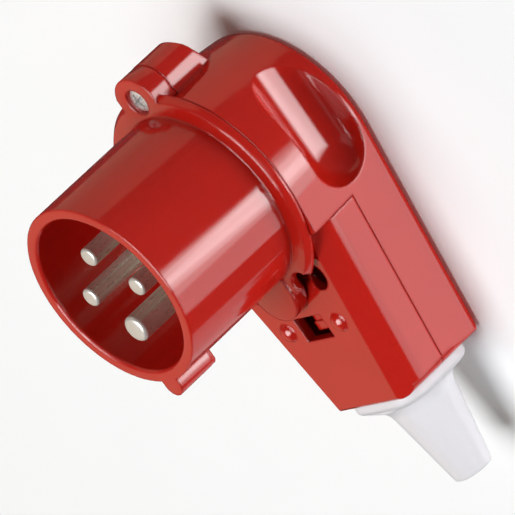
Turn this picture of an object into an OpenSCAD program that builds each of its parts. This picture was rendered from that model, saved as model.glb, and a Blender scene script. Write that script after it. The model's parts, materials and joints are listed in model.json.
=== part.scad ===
// Angled pin and sleeve plug, three phase pins and one earth pin, 16 A.
// The plug lies on its flat back: the shroud opens along +Z, the cord leaves along +X.
// Origin: where the shroud's axis meets the flat back.

/* [Shroud] */
// outside diameter of the shroud round the pins
shroud_d = 50; // [47:0.5:53]
// wall thickness of the shroud
shroud_t = 3.1; // [2.6:0.1:3.6]
// length from the mouth to the flange face
shroud_l = 36.6; // [33:0.1:40]
// width of the key rib at the mouth
key_w = 6; // [5:0.1:7]
// how far the key rib stands off the shroud
key_h = 4.2; // [3:0.1:5]
// length of the key rib
key_l = 12.2; // [8:0.1:18]

/* [Flange] */
// how far the flange's front face is set in from the body's radius
flange_bevel = 1.2; // [0.6:0.1:1.6]
// thickness of the flange ring
flange_t = 2; // [1.8:0.1:2.6]
// half width of the screw ear
ear_r = 7.7; // [7:0.1:8.2]
// distance from the shroud's axis to the ear screw
ear_x = 29.6; // [29:0.1:30.2]
// distance from the axis to the centre of the ear's round end
ear_mid = 28.4; // [27.8:0.1:28.8]
// thickness of the screw ear
ear_t = 5.8; // [5:0.1:7]
// radius of the round-ended tongue over the cover
tongue_r = 7.5; // [6.5:0.1:8]
// distance from the axis to the centre of the tongue's round end
tongue_x = 27.2; // [26:0.1:28]

/* [Contacts] */
// diameter of a phase pin
pin_d = 5; // [4.9:0.05:5.1]
// diameter of the earth pin
earth_d = 7; // [6.9:0.05:7.1]
// radius of the circle the pins stand on
pin_circle_r = 10.2; // [9.8:0.1:10.6]
// setback of the phase pins behind the mouth
pin_setback = 1.2; // [0.8:0.1:4]
// setback of the earth pin behind the mouth
earth_setback = 0.1; // [0.1:0.1:3]
// radius of a terminal body
term_r = 4.2; // [4:0.1:4.4]
// length of a terminal body behind its shoulder
term_l = 12; // [10:0.5:14]

/* [Body] */
// radius of the elbow round the shroud's axis
body_r = 30.2; // [30:0.1:31]
// distance from the mouth to the back of the body
body_back = 69.4; // [67:0.1:72]
// distance from the mouth to the front face of the cover
cover_face = 40.4; // [40:0.1:41.2]
// distance from the axis to the cord end of the body
body_end = 63.9; // [60:0.1:70]
// angle at which each side closes towards the cord
side_taper = 10.5; // [8:0.1:12]
// how far each wall closes in per millimetre towards the back
draft = 0.115; // [0.05:0.005:0.13]
// wall thickness of the body
wall = 2.8; // [2.4:0.1:3.2]
// distance from the axis to the top of the cover
cover_top = 15.3; // [14:0.1:18]
// distance from the mouth to the seam between cover and body
seam_y = 54.3; // [52:0.1:56]
// radius of the thumb groove in each side
groove_r = 9.4; // [8:0.1:10.5]
// distance from the mouth to the middle of the thumb groove
groove_y = 57.2; // [56:0.1:58]
// distance from the axis to the bottom of the thumb groove
groove_floor = 19.6; // [19.4:0.1:24]
// where the round end of the thumb groove is centred along the body
groove_x = 3.8; // [0:0.1:6]

/* [Boot] */
// distance from the mouth to the cord's axis
cord_y = 54.2; // [53.6:0.1:55]
// radius of the passage in the free end of the boot
cord_r = 4.2; // [3.5:0.1:4.6]
// length of the boot outside the body
boot_l = 29.4; // [24:0.1:36]
// outside radius of the boot's free end
boot_tip_r = 5.1; // [5:0.1:6.2]

/* [Show] */
// the piece to show

/* [Hidden] */
$fn = 96;
seat = 0.15;
slip = 0.1;
shroud_r = shroud_d / 2;
bore_r = shroud_r - shroud_t;
flange_r = body_r - flange_bevel;
flange_back = shroud_l + flange_t;
rim_y = flange_back + seat;
base_front = shroud_l - 2.6;
base_back = shroud_l + 4.9;
base_t = base_back - base_front;
spigot_back = cover_face + wall + 2;
spigot_r = body_r - wall - draft * (spigot_back - rim_y) - seat;
tongue_face = shroud_l - 0.5;
latch_w = 4.4;
latch_t = 1.8;
latch_lip = 2.4;
latch_gap = 1.3;
latch_set = 2.4;
release_x = 26.9;
release_z = 13.7;
release_r = 4;
window_x = 36.8;
window_l = 6.7;
window_w = 11.2;
latch_end = window_x + window_l - latch_gap;
pip_x = 40;
pip_z = 10.9;
cham_w = 6.5;
cham_a = 36;
cham_round = 4.3;
edge_r = 2.6;
draft_a = atan(draft);
end_bevel = 0.8;
end_round = 2.6;
ease_depth = 20;
relief_x = 26.6;
relief_back = 50.4;
relief_end = 60.4;
plate_front = base_back + 1.5;
plate_back = plate_front + 2.5;
plate_rim = 3.1;
plate_r = pin_circle_r + term_r + plate_rim;
shoulder_r = 5;
root = 0.25;
tip_round = 0.6;
term_back = plate_front + term_l;
term_screw_y = plate_back + 5;
boss_r = ear_r + 0.1;
boss_front = shroud_l + ear_t + seat;
boss_back = 51.7;
boss_slope = 25.7;
boss_bevel = 2.5;
screw_r = 1.75;
screw_head_r = 2.9;
screw_head_h = 2.1;
flange_screw_l = 15;
small_r = 1.4;
small_head_r = 2.8;
small_head_h = 1.8;
retainer_screw_l = 9;
clamp_screw_l = 13;
clamp_x = 52;
clamp_z = 9.2;
clamp_front = cord_y - 7.4;
clamp_t = 4;
neck_r = 9.2;
boot_half = 13.9;
boot_front = 41.8;
boot_back = 66.4;
boot_corner = 7.4;
boot_t = 3.4;
boot_root_r = 8.7;
boot_flare = 5.5;

red = [0.72, 0.1, 0.07];
nickel = [0.72, 0.7, 0.66];
steel = [0.75, 0.76, 0.78];
brass = [0.78, 0.63, 0.32];
white = [0.9, 0.9, 0.91];
dark = [0.18, 0.18, 0.19];

// points of an arc, for outlines
function arc(cx, cy, r, a, b, n) =
  [for (i = [0:n]) [cx + r * cos(a + (b - a) * i / n), cy + r * sin(a + (b - a) * i / n)]];

// Work frame: X towards the cord, Z backwards from the mouth, Y across.
module place() {
  translate([0, 0, body_back])
    rotate([180, 0, 0])
      children();
}

// ---- body form ----

// rounded back edge of the half section, inset by o
function back_edge(o) =
  let (r = max(edge_r - o, 0.2),
       y = body_back - o - r,
       x = body_r - draft * (y - rim_y) - (o + r) / cos(draft_a))
    concat(arc(x, y, r, draft_a, 90, 6), [[0, body_back - o]]);

// half section of the body with square front, inset by o
function plain_section(o, front) =
  concat([[0, front], [body_r - o / cos(draft_a) - draft * (front - rim_y), front]],
         back_edge(o));

// centre of the round between the front chamfer and the side
function cham_centre() =
  let (b1 = sin(cham_a) * (body_r - cham_w) - cos(cham_a) * cover_face - cham_round,
       b2 = cos(draft_a) * body_r + sin(draft_a) * rim_y - cham_round,
       k = cos(cham_a - draft_a))
    [(b1 * sin(draft_a) + cos(cham_a) * b2) / k,
     (sin(cham_a) * b2 - cos(draft_a) * b1) / k];

// half section of the body with the wide front chamfer, inset by o
function chamfer_section(o) =
  concat([[0, cover_face + o],
          [body_r - cham_w - o * tan(cham_a / 2), cover_face + o]],
         arc(cham_centre()[0], cham_centre()[1], cham_round - o, cham_a - 90, draft_a, 6),
         back_edge(o));

module side_half(section, o) {
  intersection() {
    rotate([0, 0, -side_taper])
      rotate([90, 0, 90])
        linear_extrude(height = 80)
          polygon(section);
    translate([-20, 0, 0])
      cube([body_end - o + 20, 60, 90]);
  }
}

module handle_form(section, o) {
  side_half(section, o);
  mirror([0, 1, 0])
    side_half(section, o);
}

module elbow_form(section) {
  rotate([0, 0, 90 - side_taper])
    rotate_extrude(angle = 180 + 2 * side_taper, $fn = 120)
      polygon(section);
}

module body_form(o, front) {
  handle_form(plain_section(o, front), o);
  elbow_form(plain_section(o, front));
}

// eased edges round the cord end of the body
module end_eases() {
  // upright edges
  for (m = [0, 1])
    mirror([0, m, 0])
      translate([body_end - end_round,
                 (body_r - draft * ease_depth - end_round
                  - (body_end - end_round) * sin(side_taper)) / cos(side_taper), 0])
        linear_extrude(height = body_back + 1)
          difference() {
            polygon([[0, 0], [9, 0], [9, 9], [9 * sin(side_taper), 9 * cos(side_taper)]]);
            circle(r = end_round, $fn = 48);
          }
  // front edge
  translate([body_end, 0, cover_face])
    rotate([0, 45, 0])
      translate([-end_bevel * 0.7, -30, -15])
        cube([20, 60, 30]);
  // back edge
  difference() {
    translate([body_end - end_round, -30, body_back - end_round])
      cube([9, 60, 9]);
    translate([body_end - end_round, -31, body_back - end_round])
      rotate([-90, 0, 0])
        cylinder(r = end_round, h = 62, $fn = 48);
  }
}

// thumb groove in each side, grown by g
module groove(g) {
  r = groove_r + g;
  for (s = [-1, 1])
    translate([groove_x, s * (groove_floor + groove_r), groove_y])
      rotate([0, 90, 0])
        rotate_extrude($fn = 72)
          intersection() {
            union() {
              circle(r = r, $fn = 72);
              translate([0, -60])
                square([r, 60]);
            }
            translate([0, -60])
              square([r + 1, 61 + r]);
          }
}

// flat relief of the closed end round the boss, moved in by o
module relief(o) {
  translate([0, 20, 0])
    rotate([90, 0, 0])
      linear_extrude(height = 40)
        polygon([[o - relief_x, 20], [o - relief_x, relief_back],
                 [o - relief_x - 1.4, relief_end], [-60, relief_end], [-60, 20]]);
}

// outline of the boss
module boss_outline() {
  translate([-ear_mid, 0])
    circle(r = boss_r, $fn = 64);
  translate([-ear_mid, -boss_r])
    square([ear_mid - relief_x + 1.6, 2 * boss_r]);
}

module boss() {
  difference() {
    translate([0, 0, boss_front])
      linear_extrude(height = 22)
        boss_outline();
    translate([-ear_mid - boss_r, 0, boss_back])
      rotate([0, -boss_slope, 0]) {
        translate([-20, -15, 0])
          cube([60, 30, 40]);
        // eased edges along both sides of the end
        for (m = [0, 1])
          mirror([0, m, 0])
            translate([-20, 0, 0])
              rotate([90, 0, 90])
                linear_extrude(height = 60)
                  polygon(concat(arc(boss_r - boss_bevel, -boss_bevel, boss_bevel, 0, 90, 4),
                                 [[boss_r - boss_bevel, 5], [boss_r + 5, 5],
                                  [boss_r + 5, -boss_bevel]]));
      }
  }
}

module housing() {
  color(red)
    place()
      difference() {
        union() {
          difference() {
            body_form(0, rim_y);
            relief(0);
          }
          boss();
        }
        difference() {
          body_form(wall, rim_y - 2);
          relief(wall);
          groove(wall - 0.6);
          for (s = [-1, 1])
            translate([clamp_x, s * clamp_z, clamp_front + clamp_t])
              cylinder(r = 3.6, h = 30, $fn = 32);
        }
        groove(0);
        // room for the front cover
        translate([cover_top - seat / 2, -40, 30])
          cube([60, 80, seam_y + seat / 2 - 30]);
        // boot passage
        translate([body_end - 8, 0, cord_y])
          rotate([0, 90, 0])
            cylinder(r = neck_r + slip, h = 12, $fn = 72);
        // flange screw pilot
        translate([-ear_x, 0, boss_front - 1])
          cylinder(r = screw_r + 0.02, h = 11.4, $fn = 32);
        // clamp screw pilots
        for (s = [-1, 1])
          translate([clamp_x, s * clamp_z, clamp_front + clamp_t - 1])
            cylinder(r = 1.4, h = 10, $fn = 24);
        end_eases();
      }
}

module front_cover() {
  color(red)
    place() {
      difference() {
        intersection() {
          handle_form(chamfer_section(0), 0);
          translate([cover_top + seat / 2, -40, 30])
            cube([60, 80, seam_y - seat / 2 - 30]);
        }
        handle_form(chamfer_section(wall), wall);
        // seat of the insert's spigot
        translate([0, 0, 30])
          cylinder(r = spigot_r + seat, h = 30, $fn = 120);
        // latch window
        translate([window_x, -window_w / 2, 30])
          cube([window_l, window_w, 20]);
        // release holes
        for (s = [-1, 1])
          translate([release_x, s * release_z, 30])
            cylinder(r = release_r, h = 30, $fn = 48);
        // sloping reliefs beside the tongue
        for (s = [-1, 1])
          intersection() {
            translate([0, 0, cover_face - 0.4])
              cylinder(r1 = 34, r2 = 28, h = 2.4, $fn = 120);
            translate([20, s * 9 - 5.5, cover_face - 1])
              cube([20, 11, 10]);
          }
        // boot passage
        translate([body_end - 8, 0, cord_y])
          rotate([0, 90, 0])
            cylinder(r = neck_r + slip, h = 12, $fn = 72);
        end_eases();
      }
      for (s = [-1, 1])
        intersection() {
          translate([pip_x, s * pip_z, cover_face + 1.7])
            sphere(r = 3.2, $fn = 48);
          translate([pip_x - 5, s * pip_z - 5, cover_face - 5])
            cube([10, 10, 6]);
        }
    }
}

// ---- insert ----

module ear() {
  difference() {
    union() {
      translate([-ear_mid, 0, shroud_l])
        cylinder(r = ear_r, h = ear_t, $fn = 64);
      translate([-ear_mid, -ear_r, shroud_l])
        cube([8, 2 * ear_r, ear_t]);
    }
    // behind the flange the ear stops short of the housing
    translate([-relief_x - seat, -20, flange_back])
      cube([20, 40, 20]);
  }
}

module tongue() {
  translate([tongue_x, 0, tongue_face])
    cylinder(r = tongue_r, h = cover_face - slip - tongue_face, $fn = 64);
  translate([shroud_r - 1.5, -tongue_r, tongue_face])
    cube([tongue_x - shroud_r + 1.5, 2 * tongue_r, cover_face - slip - tongue_face]);
}

module key_rib() {
  translate([shroud_r - 1, 0, 0])
    linear_extrude(height = key_l - 1)
      rib_outline(0);
  translate([shroud_r - 1, 0, key_l - 1])
    linear_extrude(height = 1)
      rib_outline(0.4);
}

// cross section of the key rib with eased corners, inset by o
module rib_outline(o) {
  polygon([[0, o - key_w / 2], [key_h + 0.3 - o, o - key_w / 2],
           [key_h + 1 - o, o + 0.7 - key_w / 2], [key_h + 1 - o, key_w / 2 - 0.7 - o],
           [key_h + 0.3 - o, key_w / 2 - o], [0, key_w / 2 - o]]);
}

module pin_seats() {
  for (a = [90, 180, 270])
    rotate([0, 0, a])
      translate([pin_circle_r, 0, base_front - 1])
        cylinder(r = pin_d / 2 + root, h = base_t + 2, $fn = 64);
  translate([pin_circle_r, 0, base_front - 1])
    cylinder(r = earth_d / 2 + root, h = base_t + 2, $fn = 64);
}

module shroud_insert() {
  color(red)
    place()
      difference() {
        union() {
          // shroud and base, flat beside the ear
          difference() {
            rotate_extrude($fn = 144)
              polygon([[bore_r + 0.6, 0], [shroud_r - 0.2, 0], [shroud_r, 0.2],
                       [shroud_r, shroud_l], [flange_r, shroud_l],
                       [body_r - 0.05, flange_back - 0.5], [body_r - 0.05, flange_back],
                       [spigot_r, flange_back], [spigot_r, spigot_back],
                       [spigot_r - 2.4, spigot_back], [spigot_r - 2.4, base_back],
                       [0, base_back], [0, base_front], [bore_r, base_front],
                       [bore_r, 0.6]]);
            translate([-60, -30, flange_back])
              cube([60 - relief_x + wall + seat, 60, 20]);
          }
          ear();
          tongue();
          key_rib();
          // post of the retainer screw
          cylinder(r = 3, h = plate_front, $fn = 48);
          // latch arm
          translate([spigot_r - 3, -latch_w / 2, spigot_back - latch_t])
            cube([latch_end - spigot_r + 3, latch_w, latch_t]);
          translate([latch_end - latch_lip, -latch_w / 2, cover_face + latch_set])
            cube([latch_lip, latch_w, spigot_back - cover_face - latch_set + 0.1]);
        }
        // inside of the shroud in front of the base
        translate([0, 0, -1])
          cylinder(r = 6, h = base_front + 1, $fn = 48);
        pin_seats();
        // ear screw seat
        translate([-ear_x, 0, shroud_l - 1])
          cylinder(r = 3.5, h = 3.6, $fn = 48);
        translate([-ear_x, 0, shroud_l - 1])
          cylinder(r = 2.1, h = 12, $fn = 32);
        // release holes
        for (s = [-1, 1])
          translate([release_x, s * release_z, shroud_l - 2])
            cylinder(r = release_r, h = 30, $fn = 48);
        // pilot of the retainer screw
        translate([0, 0, base_front + 2])
          cylinder(r = 1.4, h = 10, $fn = 24);
      }
}

// ---- contacts ----

module contact(r, setback, angle) {
  color(nickel)
    place()
      rotate([0, 0, angle])
        translate([pin_circle_r, 0, 0])
          difference() {
            rotate_extrude($fn = 64)
              polygon(concat([[0, setback]],
                             arc(r - tip_round, setback + tip_round, tip_round, -90, 0, 5),
                             [[r, base_front], [r + root, base_front],
                              [r + root, base_back], [shoulder_r, base_back],
                              [shoulder_r, plate_front], [term_r, plate_front],
                              [term_r, term_back - 0.5], [term_r - 0.5, term_back],
                              [0, term_back]]));
            // wire hole
            translate([0, 0, plate_back + 0.5])
              cylinder(r = 2, h = term_l, $fn = 32);
            // screw thread
            translate([0, 0, term_screw_y])
              rotate([0, 90, 0])
                cylinder(r = 1.5, h = 10, $fn = 24);
          }
}

module terminal_screw(angle) {
  color(steel)
    place()
      rotate([0, 0, angle])
        translate([pin_circle_r + 1.6, 0, term_screw_y])
          rotate([0, 90, 0])
            difference() {
              cylinder(r = 1.5, h = 4.4, $fn = 24);
              translate([-2, -0.3, 3.5])
                cube([4, 0.6, 2]);
            }
}

module pin_l1() {
  contact(pin_d / 2, pin_setback, 90);
}

module pin_l2() {
  contact(pin_d / 2, pin_setback, 180);
}

module pin_l3() {
  contact(pin_d / 2, pin_setback, 270);
}

module pin_earth() {
  contact(earth_d / 2, earth_setback, 0);
}

module terminal_screw_l1() {
  terminal_screw(90);
}

module terminal_screw_l2() {
  terminal_screw(180);
}

module terminal_screw_l3() {
  terminal_screw(270);
}

module terminal_screw_earth() {
  terminal_screw(0);
}

module pin_retainer() {
  color(dark)
    place()
      difference() {
        translate([0, 0, plate_front])
          cylinder(r = plate_r, h = plate_back - plate_front, $fn = 96);
        for (a = [0, 90, 180, 270])
          rotate([0, 0, a])
            translate([pin_circle_r, 0, plate_front - 1])
              cylinder(r = term_r + slip, h = 6, $fn = 48);
        translate([0, 0, plate_front - 1])
          cylinder(r = 1.6, h = 6, $fn = 24);
      }
}

// screw along +Z of the work frame: head on the front side at z
module screw(r, head_r, head_h, length) {
  difference() {
    union() {
      rotate_extrude($fn = 48)
        polygon([[0, 0], [head_r - 0.5, 0], [head_r, 0.5], [head_r, head_h],
                 [r, head_h], [r, length - 0.5], [r - 0.5, length], [0, length]]);
    }
    translate([-head_r * 0.6, -head_r * 0.12, -1])
      cube([head_r * 1.2, head_r * 0.24, 1 + head_h * 0.6]);
    translate([-head_r * 0.12, -head_r * 0.6, -1])
      cube([head_r * 0.24, head_r * 1.2, 1 + head_h * 0.6]);
  }
}

module retainer_screw() {
  color(steel)
    place()
      translate([0, 0, plate_back + small_head_h])
        mirror([0, 0, 1])
          screw(small_r, small_head_r, small_head_h, retainer_screw_l);
}

module flange_screw() {
  color(steel)
    place()
      translate([-ear_x, 0, shroud_l + 0.5])
        screw(screw_r, screw_head_r, screw_head_h, flange_screw_l);
}

// ---- cord end ----

module cord_clamp() {
  color(dark)
    place()
      difference() {
        translate([clamp_x - 4, -clamp_z - 4, clamp_front])
          cube([8, 2 * clamp_z + 8, clamp_t]);
        translate([clamp_x - 6, 0, cord_y])
          rotate([0, 90, 0])
            cylinder(r = cord_r + 0.6, h = 12, $fn = 48);
        for (s = [-1, 1])
          translate([clamp_x, s * clamp_z, clamp_front - 1])
            cylinder(r = 1.6, h = 8, $fn = 24);
      }
}

module clamp_screw(s) {
  color(steel)
    place()
      translate([clamp_x, s * clamp_z, clamp_front - small_head_h])
        screw(small_r, small_head_r, small_head_h, clamp_screw_l);
}

module clamp_screw_a() {
  clamp_screw(-1);
}

module clamp_screw_b() {
  clamp_screw(1);
}

// outline of the boot's flange, inset by o
module boot_outline(o) {
  hull()
    for (s = [-1, 1])
      for (y = [boot_front + boot_corner, boot_back - boot_corner])
        translate([s * (boot_half - boot_corner), y])
          circle(r = boot_corner - o, $fn = 32);
}

module boot() {
  color(white)
    place()
      difference() {
        union() {
          // inner collar and neck
          translate([0, 0, cord_y])
            rotate([0, 90, 0])
              rotate_extrude($fn = 96)
                polygon([[0, body_end - 6], [11, body_end - 6],
                         [11, body_end - wall - slip], [neck_r, body_end - wall - slip],
                         [neck_r, body_end + 1], [0, body_end + 1]]);
          // flange with an eased edge
          translate([body_end + slip, 0, 0])
            rotate([90, 0, 90])
              linear_extrude(height = boot_t - 1)
                boot_outline(0);
          translate([body_end + boot_t - 1, 0, 0])
            rotate([90, 0, 90])
              linear_extrude(height = 0.6 + slip)
                boot_outline(0.4);
          translate([body_end + boot_t - 0.5, 0, 0])
            rotate([90, 0, 90])
              linear_extrude(height = 0.5)
                boot_outline(1);
          // flared cone, kept within the flange
          intersection() {
            translate([0, 0, cord_y])
              rotate([0, 90, 0])
                rotate_extrude($fn = 96)
                  polygon(concat([[0, body_end + 1], [boot_root_r + boot_flare, body_end + 1]],
                                 arc(boot_root_r + boot_flare, body_end + boot_t + boot_flare,
                                     boot_flare, 270, 188, 8),
                                 [[boot_tip_r + 0.2, body_end + boot_l - 0.2],
                                  [boot_tip_r, body_end + boot_l],
                                  [0, body_end + boot_l]]));
            translate([body_end, 0, 0])
              rotate([90, 0, 90])
                linear_extrude(height = boot_l + 1)
                  boot_outline(1);
          }
        }
        translate([body_end - 8, 0, cord_y])
          rotate([0, 90, 0])
            cylinder(r = cord_r, h = boot_l + 9, $fn = 64);
        translate([body_end - 8, 0, cord_y])
          rotate([0, 90, 0])
            cylinder(r = 7.2, h = 12, $fn = 64);
      }
}

shroud_insert();
pin_l1();
pin_l2();
pin_l3();
pin_earth();
terminal_screw_l1();
terminal_screw_l2();
terminal_screw_l3();
terminal_screw_earth();
pin_retainer();
retainer_screw();
housing();
front_cover();
flange_screw();
cord_clamp();
clamp_screw_a();
clamp_screw_b();
boot();
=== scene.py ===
"""Looks for the angled pin and sleeve plug.

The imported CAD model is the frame: +Z runs out of the plug's mouth, +X towards
the cord, and the floor is the plane of its flat back, z = 0. Units are metres.
"""
import json
import math

import bmesh
import bpy
from mathutils import Matrix, Vector


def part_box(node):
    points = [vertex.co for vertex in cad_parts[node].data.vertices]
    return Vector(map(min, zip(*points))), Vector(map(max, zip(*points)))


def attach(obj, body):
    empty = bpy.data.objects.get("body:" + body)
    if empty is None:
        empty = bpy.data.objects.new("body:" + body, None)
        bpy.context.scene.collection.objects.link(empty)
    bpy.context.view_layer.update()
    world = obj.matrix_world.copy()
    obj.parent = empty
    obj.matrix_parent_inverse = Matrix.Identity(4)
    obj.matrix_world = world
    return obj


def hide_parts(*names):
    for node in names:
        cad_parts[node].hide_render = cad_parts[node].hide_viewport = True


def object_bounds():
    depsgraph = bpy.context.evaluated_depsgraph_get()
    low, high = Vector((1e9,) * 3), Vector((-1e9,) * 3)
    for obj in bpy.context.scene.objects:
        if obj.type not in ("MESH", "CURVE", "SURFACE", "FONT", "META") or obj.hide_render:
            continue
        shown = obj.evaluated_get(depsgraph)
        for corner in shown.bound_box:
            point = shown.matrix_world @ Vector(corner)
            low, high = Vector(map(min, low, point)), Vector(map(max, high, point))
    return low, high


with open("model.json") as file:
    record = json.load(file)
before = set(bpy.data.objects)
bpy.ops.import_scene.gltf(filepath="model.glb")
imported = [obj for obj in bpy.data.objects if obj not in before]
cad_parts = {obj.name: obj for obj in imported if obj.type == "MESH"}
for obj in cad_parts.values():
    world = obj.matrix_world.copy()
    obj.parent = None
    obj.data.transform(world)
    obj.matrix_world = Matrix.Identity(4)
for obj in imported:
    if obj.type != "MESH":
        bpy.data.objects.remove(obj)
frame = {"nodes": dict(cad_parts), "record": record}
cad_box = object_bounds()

NODES = frame["nodes"]

# ---------------------------------------------------------------- settings

# Camera: a long lens, well back, with the object turned on its side in the frame.
CAMERA_AT = (-0.35722, 1.29036, 0.80693)
CAMERA_RIGHT = (0.56100, 0.54045, -0.62705)
CAMERA_DOWN = (0.79174, -0.12912, 0.59705)
SENSOR = 36.0
LENS = 459.8

# Colours, as linear values
RED = (0.465, 0.0116, 0.0062)
RED_DEEP = (0.435, 0.0098, 0.0054)
NICKEL = (0.74, 0.76, 0.66)
NICKEL_DARK = (0.60, 0.60, 0.49)
TIP_NICKEL = (0.66, 0.63, 0.58)
TIP_NICKEL_PALE = (0.76, 0.73, 0.69)
STEEL = (0.62, 0.61, 0.60)
STEEL_PALE = (0.72, 0.71, 0.70)
ZINC = (0.74, 0.73, 0.72)
ZINC_PALE = (0.9, 0.9, 0.9)
BOOT_WHITE = (0.665, 0.655, 0.685)
BLACK = (0.012, 0.012, 0.013)
BLACK_WORN = (0.02, 0.02, 0.021)
FLOOR = (0.845, 0.865, 0.877)

# Lamp tints
WHITE = (1.0, 1.0, 1.0)
WARM = (1.0, 0.80, 0.55)

# Lamps round the object: name, azimuth from +X towards +Y, elevation, width and height
# in degrees, radiance, distance in metres and tint
LAMPS = [
    ("softbox_core", 74, -22, 8, 46, 2.2, 1.3, WHITE),
    ("softbox_side", 75, -22, 18, 52, 2.2, 1.35, WHITE),
    ("softbox_soft", 72, -22, 30, 58, 1.3, 1.4, WHITE),
    ("softbox_wide", 62, -24, 52, 62, 1.45, 1.45, WHITE),
    ("softbox_top", 180, 87, 40, 36, 7.5, 1.3, WHITE),
    ("softbox_high", 140, 66, 70, 30, 0.3, 1.3, WHITE),
    ("panel_right", -18, -22, 44, 70, 0.55, 1.3, WHITE),
    ("panel_left", 205, -10, 60, 90, 0.34, 1.3, WARM),
    ("panel_front", 290, 30, 60, 50, 0.50, 1.3, WARM),
]
WORLD_LIGHT = 0.06

# Floor: its side, and how far it lies under the flat back
FLOOR_SIZE = 6.0
FLOOR_GAP = 0.0002

# The key rib, as the part's source has it
KEY_HEIGHT = 0.0042
KEY_WIDTH = 0.006
KEY_LENGTH = 0.0122
KEY_ARC_STEPS = 24

# Room that a cutting tool has past the piece
OVERCUT = 0.001

# Pin tips: the rounded edge's width and the crown's height as shares of the pin's radius,
# the edge's height as a share of its width, and the crown's rings as shares of its flat
TIP_FILLET = 0.34
TIP_CROWN = 0.04
TIP_RISE = 0.85
CROWN_SHARES = (0.75, 0.5, 0.25)

# The ear screw: its radii, the dome's shape, how far the rim and the head's underside lie
# below the top, and the point's length, narrowing and edge width
SCREW_HEAD_R = 0.0034
SCREW_SHANK_R = 0.00175
SCREW_DOME_SHARE = 0.98
SCREW_DOME_DROP = 0.16 / 0.64
SCREW_DOME_ANGLE = 70
SCREW_DOME_STEPS = 8
SCREW_RIM_TOP = 0.0009
SCREW_RIM_LOW = 0.0016
SCREW_HEAD_H = 0.0021
SCREW_POINT_H = 0.0006
SCREW_POINT_SHARE = 0.6
SCREW_EDGE = 0.00012

# Its recesses: half length, half width, depth and turn in degrees
SCREW_RECESSES = (
    (0.0021, 0.00048, 0.0014, 20),
    (0.0017, 0.00012, 0.0006, 65),
)

# The flat sides of the ear and boss: where the boss's start along X, half the width
# across them, how much further out the ear's start, and the most that they take off
FLAT_FROM = -0.0268
FLAT_OUT = 0.00705
EAR_STANDOFF = 0.0013
FLAT_DEPTH = 0.0008

# Rounding of moulded edges: in the mesh, where its faces leave room for it, and in the
# shading of the two plastics
MOULD_EDGE = 0.00035
RED_SOFT_EDGE = 0.0009
BOOT_SOFT_EDGE = 0.0012

# Angles, in degrees, above which an edge is rounded or stays sharp
BEVEL_ANGLE = 30
SHARP_ANGLE = 35


# --------------------------------------------------------------- materials

# Height of the fine relief in plastic and in metal, in metres
PLASTIC_RELIEF = 0.00012
METAL_RELIEF = 0.00004

# Rays that each rounded edge in the shading takes
BEVEL_SAMPLES = 6


def new_material(name):
    """An empty node material with its principled shader and its node tools."""
    material = bpy.data.materials.new(name)
    material.use_nodes = True
    tree = material.node_tree
    shader = next(n for n in tree.nodes if n.type == "BSDF_PRINCIPLED")
    return material, tree, shader


def noise(tree, scale, detail=3.0, roughness=0.5, stretch=None):
    """Solid noise in object space; scale is in features a metre."""
    coords = tree.nodes.new("ShaderNodeTexCoord")
    texture = tree.nodes.new("ShaderNodeTexNoise")
    texture.inputs["Scale"].default_value = scale
    texture.inputs["Detail"].default_value = detail
    texture.inputs["Roughness"].default_value = roughness
    if stretch:
        mapping = tree.nodes.new("ShaderNodeMapping")
        mapping.inputs["Scale"].default_value = stretch
        tree.links.new(coords.outputs["Object"], mapping.inputs["Vector"])
        tree.links.new(mapping.outputs["Vector"], texture.inputs["Vector"])
    else:
        tree.links.new(coords.outputs["Object"], texture.inputs["Vector"])
    return texture.outputs["Fac"]


def span(tree, value, low, high):
    """Noise around a half, spread between low and high."""
    ramp = tree.nodes.new("ShaderNodeMapRange")
    ramp.inputs["From Min"].default_value = 0.3
    ramp.inputs["From Max"].default_value = 0.7
    ramp.inputs["To Min"].default_value = low
    ramp.inputs["To Max"].default_value = high
    tree.links.new(value, ramp.inputs["Value"])
    return ramp.outputs["Result"]


def two_tone(tree, value, first, second):
    """A colour between two, by a noise value."""
    ramp = tree.nodes.new("ShaderNodeValToRGB")
    ramp.color_ramp.elements[0].position = 0.3
    ramp.color_ramp.elements[0].color = (*first, 1.0)
    ramp.color_ramp.elements[1].position = 0.7
    ramp.color_ramp.elements[1].color = (*second, 1.0)
    tree.links.new(value, ramp.inputs["Fac"])
    return ramp.outputs["Color"]


def bump(tree, shader, height, strength, distance, soft_edge=0.0):
    """Fine relief from a height value, over softened edges; distances are in metres."""
    node = tree.nodes.new("ShaderNodeBump")
    if soft_edge:
        rounded = tree.nodes.new("ShaderNodeBevel")
        rounded.samples = BEVEL_SAMPLES
        rounded.inputs["Radius"].default_value = soft_edge
        tree.links.new(rounded.outputs["Normal"], node.inputs["Normal"])
    node.inputs["Strength"].default_value = strength
    node.inputs["Distance"].default_value = distance
    tree.links.new(height, node.inputs["Height"])
    tree.links.new(node.outputs["Normal"], shader.inputs["Normal"])


def moulded(name, colours, rough, flow, gloss=0.5, scatter=0.0, soft_edge=0.0):
    """Moulded plastic: nearly even colour, with a moulding's faint flow and ripple."""
    material, tree, shader = new_material(name)
    cloud = noise(tree, 55.0, 4.0)
    ripple = noise(tree, 420.0, 2.0)
    tree.links.new(two_tone(tree, cloud, *colours), shader.inputs["Base Color"])
    tree.links.new(span(tree, ripple, *rough), shader.inputs["Roughness"])
    shader.inputs["IOR"].default_value = 1.5
    shader.inputs["Specular IOR Level"].default_value = gloss
    if scatter:
        shader.inputs["Subsurface Weight"].default_value = scatter
        shader.inputs["Subsurface Radius"].default_value = (0.6, 0.55, 0.5)
        shader.inputs["Subsurface Scale"].default_value = 0.002
    bump(tree, shader, cloud, flow, PLASTIC_RELIEF, soft_edge)
    return material


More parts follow.
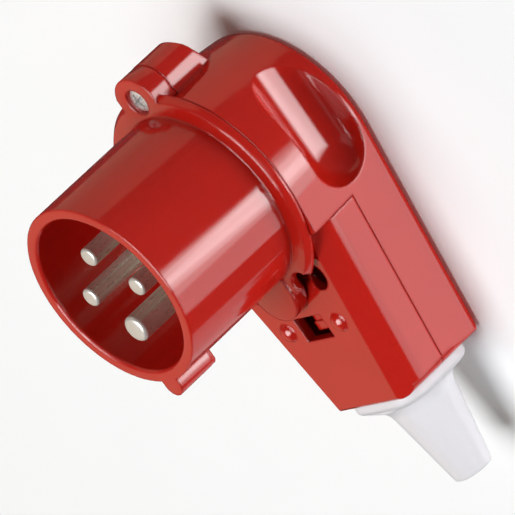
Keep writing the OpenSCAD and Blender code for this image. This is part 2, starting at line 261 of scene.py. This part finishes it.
def metal(name, colours, rough, stretch, scratch, metallic=1.0):
    """Turned or plated metal: fine marks drawn out along one direction."""
    material, tree, shader = new_material(name)
    marks = noise(tree, 900.0, 4.0, 0.6, stretch)
    cloud = noise(tree, 160.0, 3.0)
    tree.links.new(two_tone(tree, cloud, *colours), shader.inputs["Base Color"])
    tree.links.new(span(tree, marks, *rough), shader.inputs["Roughness"])
    shader.inputs["Metallic"].default_value = metallic
    bump(tree, shader, marks, scratch, METAL_RELIEF)
    return material


RED_PLASTIC = moulded(
    "red_plastic", (RED_DEEP, RED), (0.09, 0.13), flow=0.02, gloss=0.85,
    soft_edge=RED_SOFT_EDGE,
)
BOOT_PLASTIC = moulded(
    "boot_plastic", (BOOT_WHITE, tuple(c * 1.04 for c in BOOT_WHITE)), (0.32, 0.42),
    flow=0.10, scatter=0.15, soft_edge=BOOT_SOFT_EDGE,
)
BLACK_PLASTIC = moulded("black_plastic", (BLACK, BLACK_WORN), (0.45, 0.55), flow=0.2)
CONTACT_METAL = metal(
    "contact_metal", (NICKEL_DARK, NICKEL), (0.24, 0.36), stretch=(1.0, 1.0, 0.25),
    scratch=0.04, metallic=0.72,
)
TIP_METAL = metal(
    "tip_metal", (TIP_NICKEL, TIP_NICKEL_PALE), (0.30, 0.42), stretch=(1, 1, 1),
    scratch=0.10, metallic=0.60,
)
SCREW_ZINC = metal(
    "screw_zinc", (ZINC, ZINC_PALE), (0.22, 0.4), stretch=(1, 1, 1),
    scratch=0.3, metallic=0.65,
)
SCREW_STEEL = metal(
    "screw_steel", (STEEL, STEEL_PALE), (0.16, 0.30), stretch=(1, 1, 1), scratch=0.2,
)


# ------------------------------------------------------------------- parts


def mount(name):
    """A mount of the record, by name."""
    mounts = frame["record"]["mounts"]
    return next(m for m in mounts if m["name"] == name)


def restyled(node):
    """A copy of a CAD node, to be shaped further; it stands for that node."""
    source = NODES[node]
    mesh = source.data.copy()
    mesh.name = node + "_form"
    obj = bpy.data.objects.new(node + "_form", mesh)
    bpy.context.scene.collection.objects.link(obj)
    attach(obj, "root")
    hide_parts(node)
    return obj


def flatten_sides(obj, beyond, across, reach):
    """Flattens both round sides of the ear or boss, further out along X than beyond."""
    for vert in obj.data.vertices:
        if vert.co.x < beyond and across < abs(vert.co.y) < reach:
            vert.co.y = math.copysign(across, vert.co.y)


def round_tip(obj, centre, radius, top, fillet, steps=7):
    """Cuts off a pin's flat end and closes it with a rounded edge and a shallow crown."""
    crown = TIP_CROWN * radius
    start = top - crown - fillet * TIP_RISE
    mesh = obj.data
    form = bmesh.new()
    form.from_mesh(mesh)
    bmesh.ops.remove_doubles(form, verts=form.verts, dist=1e-6)
    parts = form.verts[:] + form.edges[:] + form.faces[:]
    bmesh.ops.bisect_plane(form, geom=parts, plane_co=(0, 0, start),
                           plane_no=(0, 0, 1), clear_outer=True)
    ring = [e for e in form.edges if e.is_boundary]
    rings = []
    for i in range(1, steps + 1):
        turn = math.radians(90 * i / steps)
        rings.append((radius - fillet * (1 - math.cos(turn)),
                      start + fillet * TIP_RISE * math.sin(turn)))
    flat = radius - fillet
    for share in CROWN_SHARES:
        rings.append((flat * share, top - crown * share * share))
    for reach, height in rings:
        grown = bmesh.ops.extrude_edge_only(form, edges=ring)["geom"]
        for vert in (g for g in grown if isinstance(g, bmesh.types.BMVert)):
            away = Vector((vert.co.x - centre.x, vert.co.y - centre.y, 0)).normalized()
            vert.co = Vector((centre.x, centre.y, height)) + away * reach
        ring = [g for g in grown if isinstance(g, bmesh.types.BMEdge)]
    bmesh.ops.contextual_create(form, geom=ring)
    bmesh.ops.recalc_face_normals(form, faces=form.faces)
    form.to_mesh(mesh)
    form.free()


def prism(name, outline, low, high):
    """A straight prism along Z from an outline; used only to cut."""
    mesh = bpy.data.meshes.new(name)
    form = bmesh.new()
    base = [form.verts.new((x, y, low)) for x, y in outline]
    face = form.faces.new(base)
    top = bmesh.ops.extrude_face_region(form, geom=[face])["geom"]
    for vert in (g for g in top if isinstance(g, bmesh.types.BMVert)):
        vert.co.z = high
    bmesh.ops.recalc_face_normals(form, faces=form.faces)
    form.to_mesh(mesh)
    form.free()
    obj = bpy.data.objects.new(name, mesh)
    bpy.context.scene.collection.objects.link(obj)
    return obj


def cut_away(obj, tool):
    """Takes the tool's volume out of a piece, and removes the tool."""
    cut = obj.modifiers.new("cut", "BOOLEAN")
    cut.operation = "DIFFERENCE"
    cut.solver = "EXACT"
    cut.object = tool
    deps = bpy.context.evaluated_depsgraph_get()
    mesh = bpy.data.meshes.new_from_object(obj.evaluated_get(deps))
    obj.modifiers.remove(cut)
    obj.data = mesh
    bpy.data.objects.remove(tool)


def lathe(name, centre, profile, steps=64):
    """A turned piece: (radius, height) points from the axis round to the axis."""
    mesh = bpy.data.meshes.new(name)
    form = bmesh.new()
    points = [form.verts.new((centre.x + x, centre.y, z)) for x, z in profile]
    lines = [form.edges.new(pair) for pair in zip(points, points[1:])]
    bmesh.ops.spin(form, geom=points + lines, cent=(centre.x, centre.y, 0),
                   axis=(0, 0, 1), angle=math.tau, steps=steps)
    bmesh.ops.remove_doubles(form, verts=form.verts, dist=1e-6)
    bmesh.ops.recalc_face_normals(form, faces=form.faces)
    form.to_mesh(mesh)
    form.free()
    obj = bpy.data.objects.new(name, mesh)
    bpy.context.scene.collection.objects.link(obj)
    return obj


def cross_outline(centre, long, wide, turn):
    """The twelve corners of a cross, for a screwdriver recess; turn is in radians."""
    quarter = [(long, -wide), (long, wide), (wide, wide)]
    points = []
    for k in range(4):
        angle = turn + math.radians(90 * k)
        for x, y in quarter:
            points.append((centre.x + x * math.cos(angle) - y * math.sin(angle),
                           centre.y + x * math.sin(angle) + y * math.cos(angle)))
    return points


def turned_screw(name, node):
    """The ear screw, in place of a node: a pan head with a cross and ticks between its arms."""
    low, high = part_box(node)
    axis = (low + high) / 2
    head = SCREW_HEAD_R
    profile = []
    for i in range(SCREW_DOME_STEPS + 1):
        t = math.radians(SCREW_DOME_ANGLE * i / SCREW_DOME_STEPS)
        profile.append((head * SCREW_DOME_SHARE * math.sin(t),
                        high.z - head * SCREW_DOME_DROP * (1 - math.cos(t))))
    profile += [
        (head, high.z - SCREW_RIM_TOP), (head, high.z - SCREW_RIM_LOW),
        (SCREW_SHANK_R, high.z - SCREW_HEAD_H), (SCREW_SHANK_R, low.z + SCREW_POINT_H),
        (SCREW_SHANK_R * SCREW_POINT_SHARE, low.z), (0.0, low.z),
    ]
    screw = lathe(name, axis, profile)
    for long, wide, deep, turn in SCREW_RECESSES:
        outline = cross_outline(axis, long, wide, math.radians(turn))
        cut_away(screw, prism("recess", outline, high.z - deep, high.z + OVERCUT))
    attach(screw, "root")
    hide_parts(node)
    return screw


def key_space(radius):
    """What is cut away round the key rib so that its outer edge becomes a half round."""
    out = radius + KEY_HEIGHT
    mid = out - KEY_WIDTH / 2
    past = out + 2 * OVERCUT
    outline = []
    for i in range(KEY_ARC_STEPS + 1):
        t = math.radians(90 - 180 * i / KEY_ARC_STEPS)
        outline.append((mid + KEY_WIDTH / 2 * math.cos(t), KEY_WIDTH / 2 * math.sin(t)))
    return outline + [(mid, -KEY_WIDTH), (past, -KEY_WIDTH), (past, KEY_WIDTH), (mid, KEY_WIDTH)]


def finish_piece(obj, material, edge, segments=3):
    """Material and smooth faces; an edge width asks for rounded edges, and is clamped
    to what the mesh's faces leave room for."""
    obj.data.materials.clear()
    obj.data.materials.append(material)
    for polygon in obj.data.polygons:
        polygon.use_smooth = True
    if edge:
        bevel = obj.modifiers.new("edge", "BEVEL")
        bevel.width = edge
        bevel.segments = segments
        bevel.limit_method = "ANGLE"
        bevel.angle_limit = math.radians(BEVEL_ANGLE)
        bevel.harden_normals = True
        bevel.use_clamp_overlap = True
    else:
        obj.data.set_sharp_from_angle(angle=math.radians(SHARP_ANGLE))


# Shroud with its key rib rounded at the outer edge and the sides of its ear flattened
insert = restyled("shroud_insert")
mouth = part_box("shroud_insert")[1].z
shroud_r = mount("keyed_shroud")["dims"]["r_mm"] / 1000
cut_away(insert, prism("key_cut", key_space(shroud_r),
                       mouth - KEY_LENGTH - OVERCUT, mouth + OVERCUT))
flatten_sides(insert, FLAT_FROM - EAR_STANDOFF, FLAT_OUT, FLAT_OUT + FLAT_DEPTH)
finish_piece(insert, RED_PLASTIC, MOULD_EDGE)

# Housing with the sides of its boss flattened
housing = restyled("housing")
flatten_sides(housing, FLAT_FROM, FLAT_OUT, FLAT_OUT + FLAT_DEPTH)
finish_piece(housing, RED_PLASTIC, MOULD_EDGE)

finish_piece(NODES["front_cover"], RED_PLASTIC, MOULD_EDGE)
finish_piece(NODES["boot"], BOOT_PLASTIC, None)

# Contact pins with rounded, paler tips
for node in ("pin_l1", "pin_l2", "pin_l3", "pin_earth"):
    place = mount(node)
    radius = place["dims"]["r_mm"] / 1000
    fillet = TIP_FILLET * radius
    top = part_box(node)[1].z
    pin = restyled(node)
    round_tip(pin, Vector(place["pos_m"]), radius, top, fillet)
    finish_piece(pin, CONTACT_METAL, None)
    pin.data.materials.append(TIP_METAL)
    for polygon in pin.data.polygons:
        polygon.material_index = int(polygon.center.z > top - fillet)

# Pieces inside the housing
for node in NODES:
    if "screw" in node and node != "flange_screw":
        finish_piece(NODES[node], SCREW_STEEL, None)
for node in ("pin_retainer", "cord_clamp"):
    finish_piece(NODES[node], BLACK_PLASTIC, None)

ear_screw = turned_screw("ear_screw", "flange_screw")
finish_piece(ear_screw, SCREW_ZINC, SCREW_EDGE)


# ------------------------------------------------------ floor, lights, camera


def add_floor():
    """A pale floor under the flat back, with no part in glossy or shadow rays.

    Lamps in front of the object stand below floor level; they have to reach it and
    show in its gloss, while the camera sees the floor and the object's shadow on it.
    """
    mesh = bpy.data.meshes.new("floor")
    shape = bmesh.new()
    bmesh.ops.create_grid(shape, x_segments=1, y_segments=1, size=FLOOR_SIZE / 2)
    shape.to_mesh(mesh)
    shape.free()
    floor = bpy.data.objects.new("floor", mesh)
    floor.location.z = -FLOOR_GAP
    bpy.context.scene.collection.objects.link(floor)
    material, tree, shader = new_material("floor")
    grain = noise(tree, 30.0)
    tree.links.new(two_tone(tree, grain, FLOOR, tuple(c * 1.01 for c in FLOOR)),
                   shader.inputs["Base Color"])
    shader.inputs["Roughness"].default_value = 0.9
    output = next(n for n in tree.nodes if n.type == "OUTPUT_MATERIAL")
    path = tree.nodes.new("ShaderNodeLightPath")
    either = tree.nodes.new("ShaderNodeMath")
    either.operation = "MAXIMUM"
    clear = tree.nodes.new("ShaderNodeBsdfTransparent")
    mix = tree.nodes.new("ShaderNodeMixShader")
    tree.links.new(path.outputs["Is Glossy Ray"], either.inputs[0])
    tree.links.new(path.outputs["Is Shadow Ray"], either.inputs[1])
    tree.links.new(either.outputs["Value"], mix.inputs["Fac"])
    tree.links.new(shader.outputs["BSDF"], mix.inputs[1])
    tree.links.new(clear.outputs["BSDF"], mix.inputs[2])
    tree.links.new(mix.outputs["Shader"], output.inputs["Surface"])
    mesh.materials.append(material)
    return floor


def add_softbox(name, azimuth, elevation, wide, tall, radiance, reach, tint):
    """A softbox facing the object's middle, placed and sized as the table of lamps says."""
    a, e = math.radians(azimuth), math.radians(elevation)
    towards = Vector((math.cos(a) * math.cos(e), math.sin(a) * math.cos(e), math.sin(e)))
    across = Vector((-math.sin(a), math.cos(a), 0.0))
    over = towards.cross(across)
    lamp = bpy.data.lights.new(name, "AREA")
    lamp.shape = "RECTANGLE"
    lamp.color = tint
    lamp.size = 2 * reach * math.tan(math.radians(wide / 2))
    lamp.size_y = 2 * reach * math.tan(math.radians(tall / 2))
    lamp.energy = radiance * math.pi * lamp.size * lamp.size_y
    obj = bpy.data.objects.new(name, lamp)
    turn = Matrix((across, over, towards)).transposed().to_4x4()
    obj.matrix_world = Matrix.Translation(middle + towards * reach) @ turn
    obj.visible_camera = False
    bpy.context.scene.collection.objects.link(obj)
    return obj


def add_camera():
    """The photograph's view."""
    right, down = Vector(CAMERA_RIGHT), Vector(CAMERA_DOWN)
    up = -down.normalized()
    back = right.cross(up).normalized()
    right = up.cross(back)
    turn = Matrix((right, up, back)).transposed().to_4x4()
    data = bpy.data.cameras.new("camera")
    data.sensor_width = SENSOR
    data.lens = LENS
    data.clip_start, data.clip_end = 0.05, 20.0
    camera = bpy.data.objects.new("camera", data)
    camera.matrix_world = Matrix.Translation(CAMERA_AT) @ turn
    bpy.context.scene.collection.objects.link(camera)
    bpy.context.scene.camera = camera
    return camera


def add_world(strength):
    """Faint even light from all round."""
    world = bpy.data.worlds.new("studio")
    bpy.context.scene.world = world
    world.use_nodes = True
    tree = world.node_tree
    background = next(n for n in tree.nodes if n.type == "BACKGROUND")
    background.inputs["Color"].default_value = (1.0, 1.0, 1.0, 1.0)
    background.inputs["Strength"].default_value = strength
    return world


middle = (cad_box[0] + cad_box[1]) / 2
add_floor()
add_world(WORLD_LIGHT)
for lamp in LAMPS:
    add_softbox(*lamp)
add_camera()

scene = bpy.context.scene
scene.view_settings.view_transform = "Standard"
